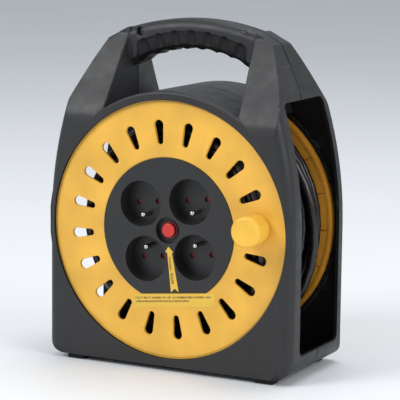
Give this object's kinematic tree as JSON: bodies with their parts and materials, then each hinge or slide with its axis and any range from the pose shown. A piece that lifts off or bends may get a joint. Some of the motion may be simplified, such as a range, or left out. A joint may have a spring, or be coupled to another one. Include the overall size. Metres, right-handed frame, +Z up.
{
  "type": "cord reel",
  "caption": "Cassette mains cord reel: black split housing with carrying handle, yellow turning drum with crank knob, earthed sockets, reset button and wound cord.",
  "frame": {"origin": "centre of the whole reel's footprint, on the ground under the feet", "axes": "+X to the right seen from the front, +Y from the socket side to the rear, +Z up"},
  "size_m": [0.24, 0.136, 0.306],
  "materials": {
    "housing_black": "satin moulded",
    "drum_yellow": "semi-gloss moulded",
    "panel_black": "fine grain moulded",
    "knob_yellow": "semi-gloss moulded",
    "button_red": "gloss moulded",
    "shutter_red": "gloss moulded",
    "label_yellow": "printed vinyl, blank",
    "foot_rubber": "matte",
    "screw_steel": "zinc plated",
    "pin_nickel": "nickel plated",
    "contact_brass": "bare",
    "carrier_ivory": "moulded",
    "cutout_black": "moulded",
    "cord_black": "glossy flexible sheath",
    "lead_brown": "insulation",
    "lead_blue": "insulation",
    "lead_green": "insulation",
    "plug_black": "moulded"
  },
  "bodies": {
    "housing": {"front_shell": "housing_black", "rear_shell": "housing_black", "shell_screws": "screw_steel", "feet": "foot_rubber", "cord_tail": "cord_black", "plug_body": "plug_black", "plug_pins": "pin_nickel", "plug_relief": "plug_black"},
    "drum": {"front_flange": "drum_yellow", "rear_flange": "drum_yellow", "hub_barrel": "drum_yellow", "flange_screws": "screw_steel", "socket_panel": "panel_black", "label_strip": "label_yellow", "arrow_label": "label_yellow", "earth_bar": "pin_nickel", "live_bar": "contact_brass", "neutral_bar": "contact_brass", "contact_sleeves": "contact_brass", "contact_carrier": "carrier_ivory", "contact_cover": "carrier_ivory", "cover_screws": "screw_steel", "cutout_body": "cutout_black", "button_spring": "screw_steel", "shutter_spring_1": "screw_steel", "shutter_spring_2": "screw_steel", "shutter_spring_3": "screw_steel", "shutter_spring_4": "screw_steel", "knob_axle": "screw_steel", "rear_cap": "panel_black", "cord_clamp": "panel_black", "clamp_screws": "screw_steel", "cord_gland": "cord_black", "inner_cord": "cord_black", "live_lead": "lead_brown", "neutral_lead": "lead_blue", "earth_lead": "lead_green", "cord_winding": "cord_black"},
    "knob": {"knob": "knob_yellow"},
    "reset_button": {"reset_button": "button_red"},
    "shutter_1": {"shutter_1": "shutter_red"},
    "shutter_2": {"shutter_2": "shutter_red"},
    "shutter_3": {"shutter_3": "shutter_red"},
    "shutter_4": {"shutter_4": "shutter_red"}
  },
  "joints": [
    {"name": "drum_spin", "type": "hinge", "parent": "housing", "child": "drum", "pos_m": [0, 0.011, 0.125], "axis": [0, 1, 0], "continuous": true},
    {"name": "knob_spin", "type": "hinge", "parent": "drum", "child": "knob", "pos_m": [0.08548, -0.053, 0.13444], "axis": [0, 1, 0], "continuous": true},
    {"name": "reset_press", "type": "slide", "parent": "drum", "child": "reset_button", "axis": [0, 1, 0], "range_m": [0, 0.0025], "stiffness_N_per_m": 400, "springref_m": -0.002, "deforming": ["button_spring"]},
    {"name": "shutter_1_slide", "type": "slide", "parent": "drum", "child": "shutter_1", "axis": [-0.1097, 0, 0.994], "range_m": [0, 0.0065], "stiffness_N_per_m": 60, "springref_m": -0.003, "deforming": ["shutter_spring_1"]},
    {"name": "shutter_2_slide", "type": "slide", "parent": "drum", "child": "shutter_2", "axis": [-0.1097, 0, 0.994], "range_m": [0, 0.0065], "stiffness_N_per_m": 60, "springref_m": -0.003, "deforming": ["shutter_spring_2"]},
    {"name": "shutter_3_slide", "type": "slide", "parent": "drum", "child": "shutter_3", "axis": [0.1097, 0, -0.994], "range_m": [0, 0.0065], "stiffness_N_per_m": 60, "springref_m": -0.003, "deforming": ["shutter_spring_3"]},
    {"name": "shutter_4_slide", "type": "slide", "parent": "drum", "child": "shutter_4", "axis": [0.1097, 0, -0.994], "range_m": [0, 0.0065], "stiffness_N_per_m": 60, "springref_m": -0.003, "deforming": ["shutter_spring_4"]}
  ]
}
